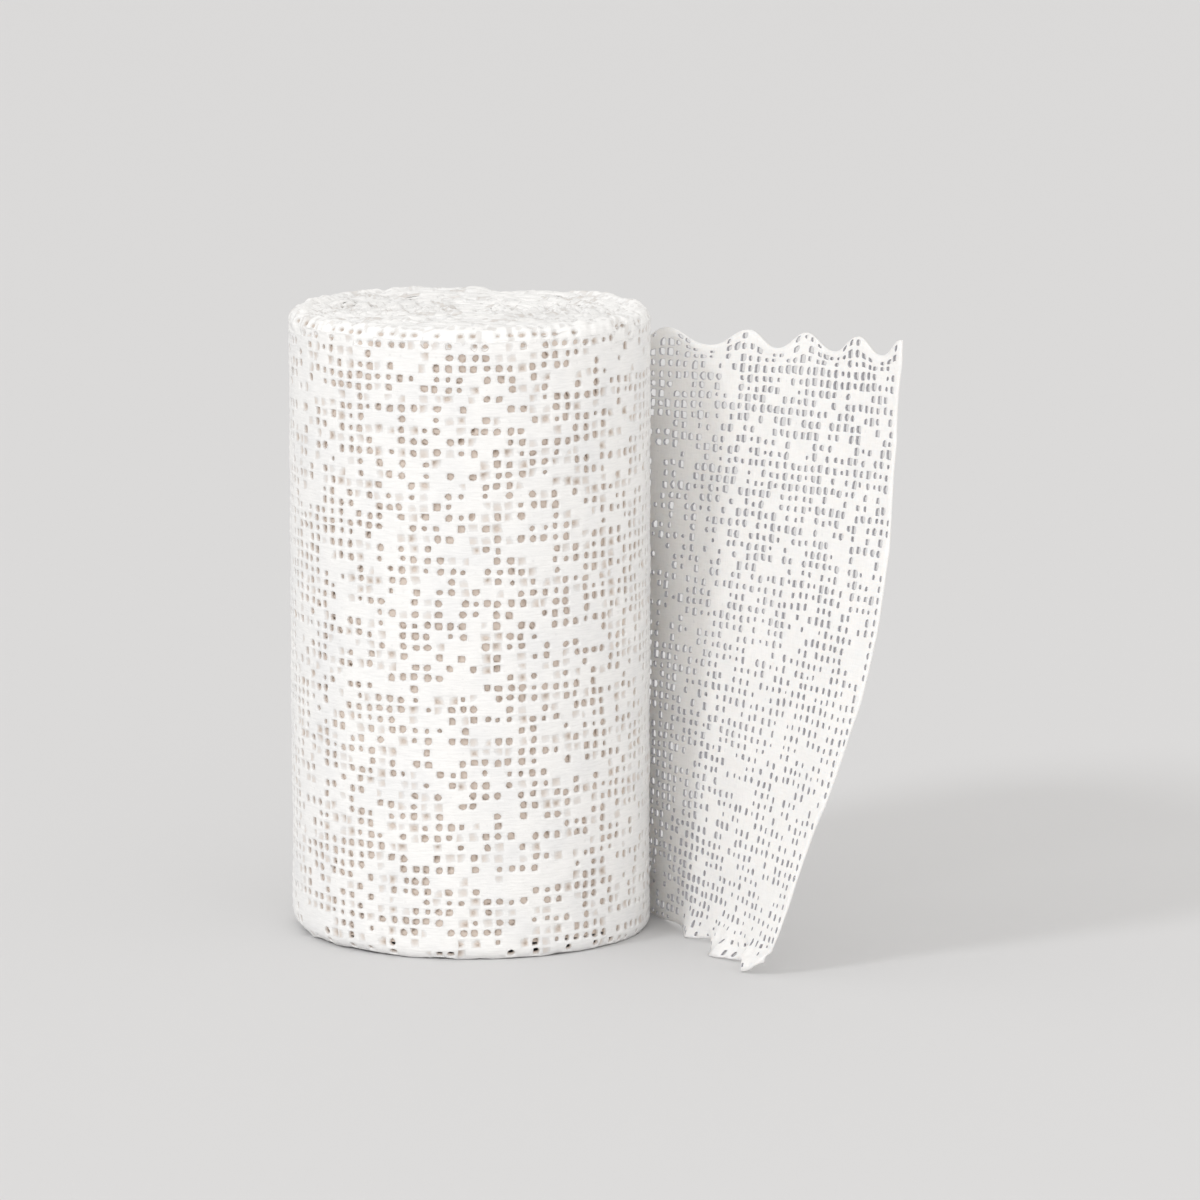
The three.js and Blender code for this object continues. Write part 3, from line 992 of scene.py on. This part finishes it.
def cut_start(k):
    """The column where the last cell of this row starts."""
    return min(last_index(j) for j in range(2 * k, 2 * k + 3)) // 2


def cut_holes():
    """The holes between the last column and the cut, in the rows that have room for one: the middle of
    each and where its eight points are from there."""
    holes = {}
    for row in range(1, ROWS - 1):
        v = (row + 0.5) * ROW
        left = strip_weave.lattice(2 * cut_start(row), 2 * row + 1)[0]
        room = cut_sigma(v) - left
        chance = rng.uniform(0, 1)
        reach = rng.uniform(0.85, 1.1, 8) * np.where(RING_CORNER, 0.75, 1.0)
        if room > LEAST_CUT_HOLE and chance < 0.7:
            half_wide = min(0.4, room / 2 - 0.3)
            dx = RING_SIDE[:, 0] * reach * half_wide
            holes[row] = (left + room / 2, v, dx, RING_SIDE[:, 1] * reach * 0.5)
    return holes


def stitch(builder, outer, outer_at, inner, inner_at, flip):
    """Joins two rings of any counts of points. Their places on the strip are from the same middle."""
    turns = []
    for at in (outer_at, inner_at):
        turn = np.unwrap(np.arctan2(at[:, 1], at[:, 0]))
        turns.append(np.append(turn, turn[0] + math.tau))
    a = b = 0
    while a < len(outer) or b < len(inner):
        first, last = outer[a % len(outer)], inner[b % len(inner)]
        if b == len(inner) or (a < len(outer) and turns[0][a + 1] <= turns[1][b + 1]):
            a += 1
            middle = outer[a % len(outer)]
        else:
            b += 1
            middle = inner[b % len(inner)]
        builder.join(first, middle, last, flip=flip)


def loose_sheet():
    builder = Builder()
    # The whole cells. Those that the cut goes through get their faces further on.
    cells = joined([(np.arange(seam_column(k), cut_start(k)), k) for k in range(ROWS)])
    c, k = cells
    spot = spot_of(c, k)
    state = strip_weave.state[spot]
    part = rng.uniform(0, 1, len(state))
    at_edge = (k == 0) | (k == ROWS - 1)
    small = (state != OPEN) | at_edge
    state[(state == FILLED) | ((state == CLOSED) & (part > 1 - SMALL_HOLES))] = OPEN
    run = cell_run(c, k)
    upper = LOBE_HEIGHT * (1 - lobe(UPPER_TIPS, run))
    lower = standing_height(0 * run, run)
    state[(k == ROWS - 1) & (upper > 1.7)] = CLOSED
    state[(k <= 1) & (lower > 1.7)] = CLOSED
    state[at_edge & (part < EDGE_CLOSED)] = CLOSED
    crumpled = (run > 33) & (run < 46) & (k >= 1) & (k <= 2)
    state[crumpled & (part > 0.4)] = OPEN
    scale = np.where(crumpled, 0.66, np.where(small, 0.78, 1.0))
    pulled = smoothstep(run, 10, 48) * (1 - smoothstep(k * ROW, 35, 75))
    strip_weave.half_wide[spot] *= scale * lerp(1.10, 0.60, pulled)
    strip_weave.half_high[spot] *= scale * lerp(1.04, 0.86, pulled)
    strip_weave.corner[spot] += 0.07 * smoothstep(run, 0, 6)[:, None]
    faces = []
    holes = cut_holes()
    cut_lips = {0: [], 1: []}
    for side, flip in ((0, True), (1, False)):

        def place(sigma, v, out, side=side):
            inside = smoothstep(np.minimum(v, STRIP_WIDTH - v), 0, 1.2)
            reach = out if side == 0 else -SHEET_THICK * lerp(0.6, 1, inside) - out
            points = strip_point(sigma, v, reach)
            points[..., 2] = np.maximum(points[..., 2], LEAST_HEIGHT)
            return points

        lattice, corner, lips = gauze_face(
            builder, strip_weave, cells, place, sheet_relief,
            state=state, depth=0, shallow=0.2, flip=flip,
        )
        v = np.arange(2 * ROWS + 1) * ROW / 2
        s = cut_sigma(v)
        ends = builder.add(place(s, v, 0), s, v, 0.0)
        for row in range(ROWS):
            start = 2 * cut_start(row)
            low, middle, high = 2 * row, 2 * row + 1, 2 * row + 2
            left, bottom, top = [
                lattice[start - corner[0] : last_index(j) - corner[0] + 1, j - corner[1]]
                for j in (middle, low, high)
            ]
            ring = np.array([*bottom, *ends[low : high + 1], *top[::-1], left[0]])
            if row in holes:
                s, v, dx, dy = holes[row]
                places = np.concatenate(builder.strip)[ring] - (s, v)
                rim_s, rim_v = s + dx * HOLE_RIM, v + dy * HOLE_RIM
                rim = builder.add(place(rim_s, rim_v, 0), rim_s, rim_v, 0.0)
                # The wall of a hole by the cut is dark with painted shade.
                lip = builder.add(place(s + dx, v + dy, -0.03), s + dx, v + dy, 0.9)
                stitch(builder, ring, places, rim, np.stack([dx, dy], -1), flip)
                builder.band(rim, lip, flip)
                cut_lips[side].append(lip)
                continue
            v = (row + 0.5) * ROW
            s = (start * COLUMN / 2 + cut_sigma(v)) / 2
            builder.fan(ring, builder.add(place(s, v, 0.03), s, v, 0.0), flip)
        faces.append((lattice, corner, lips, ends))
    (front, corner, front_lips, front_ends), (back, _, back_lips, back_ends) = faces
    builder.band(front_lips, back_lips, True)
    builder.band(np.array(cut_lips[0]), np.array(cut_lips[1]), True)
    close_border(builder, front, back, corner, front_ends, back_ends)
    piece = builder.mesh("loose_sheet", loose_plaster)
    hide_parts("loose_end")
    return piece


def close_border(builder, front, back, corner, front_ends, back_ends):
    """Joins the two faces of the loose end along its edges."""
    path = [(2 * int(seam_column(0)), 0)]
    for row in range(ROWS):
        first = 2 * int(seam_column(row))
        while path[-1][0] != first:
            path.append((path[-1][0] + (1 if first > path[-1][0] else -1), 2 * row))
        path += [(first, 2 * row + 1), (first, 2 * row + 2)]
    top_row = 2 * ROWS

    def both(i, j):
        return front[i - corner[0], j - corner[1]], back[i - corner[0], j - corner[1]]

    left = [both(i, j) for i, j in path]
    top = [both(i, top_row) for i in range(path[-1][0] + 1, last_index(top_row) + 1)]
    right = [(front_ends[j], back_ends[j]) for j in range(top_row, -1, -1)]
    bottom = [both(i, 0) for i in range(last_index(0), path[0][0], -1)]
    loop = np.array(left + top + right + bottom)
    builder.band(loop[:, 0], loop[:, 1], True)
    # Beside the outer turn the face is shaded on its own, so that no line shows where the two meet.
    builder.creases.append(np.stack([loop[: len(left) - 1, 0], loop[1 : len(left), 0]], -1))


outer_turn()
under_turn()
turn_below()
folded_edge()
top_edges = TurnEdges(TOP_EDGES_RADIUS)
foot_edges = TurnEdges(FOOT_EDGES_RADIUS)
edge_spiral("top_turns", top_edges, TOP_STEP, True)
turn_bed("top_bed", top_edges, True)
edge_spiral("foot_turns", foot_edges, FOOT_STEP, False)
turn_bed("foot_bed", foot_edges, False)
loose = loose_sheet()


def add_light(kind, name, place, power, colour):
    """Adds a light that is turned to the part, and returns its data."""
    data = bpy.data.lights.new(name, kind)
    data.energy = power
    data.color = colour
    light = add_object(name, data)
    light.location = place
    light.rotation_mode = "QUATERNION"
    light.rotation_quaternion = (Vector(LIT_SPOT) - Vector(place)).to_track_quat("-Z", "Y")
    return data


def add_floor():
    mesh = bpy.data.meshes.new("floor")
    half = 9.0
    corners = [(-half, -half, 0), (half, -half, 0), (half, half, 0), (-half, half, 0)]
    mesh.from_pydata(corners, [], [(0, 1, 2, 3)])
    material = bpy.data.materials.new("pale_floor")
    material.use_nodes = True
    shader = material.node_tree.nodes["Principled BSDF"]
    shader.inputs["Base Color"].default_value = (0.70, 0.70, 0.705, 1)
    shader.inputs["Roughness"].default_value = 0.9
    mesh.materials.append(material)
    floor = add_object("floor", mesh)
    floor.location.z = -0.0001


# The studio
LIT_SPOT = (0.02, 0, 0.05)
KEY_SIDE = math.radians(46)
KEY_UP = math.radians(36)
KEY_DISTANCE = 1.3
KEY_ANGLE = math.radians(11)
KEY_STRENGTH = 0.73
FILL_PLACE = (0.18, -1.4, 0.06)
FILL_SIZE = (1.6, 0.6)
FILL_POWER = 8.3
WORLD_STRENGTH = 0.86
CAMERA_PLACE = (0.02044, -1.1, 0.23586)
CAMERA_DOWN = math.radians(9.45)
LENS = 208.61

add_floor()
key_place = (*plane(-KEY_DISTANCE * math.cos(KEY_UP), KEY_SIDE), KEY_DISTANCE * math.sin(KEY_UP))
key = add_light("SUN", "key", key_place, KEY_STRENGTH, (0.975, 0.985, 1))
key.angle = KEY_ANGLE
fill = add_light("AREA", "fill", FILL_PLACE, FILL_POWER, (1, 0.98, 0.96))
fill.shape = "RECTANGLE"
fill.size, fill.size_y = FILL_SIZE

world = bpy.data.worlds.new("studio")
bpy.context.scene.world = world
world.use_nodes = True
background = world.node_tree.nodes["Background"]
background.inputs["Color"].default_value = (1.0, 0.985, 0.965, 1)
background.inputs["Strength"].default_value = WORLD_STRENGTH

camera_data = bpy.data.cameras.new("camera")
camera_data.lens = LENS
camera_data.sensor_width = 36
camera_data.clip_start = 0.05
camera_data.clip_end = 30
camera = add_object("camera", camera_data)
camera.location = CAMERA_PLACE
camera.rotation_euler = (math.radians(90) - CAMERA_DOWN, 0, 0)
bpy.context.scene.camera = camera

bpy.context.scene.view_settings.view_transform = "Standard"
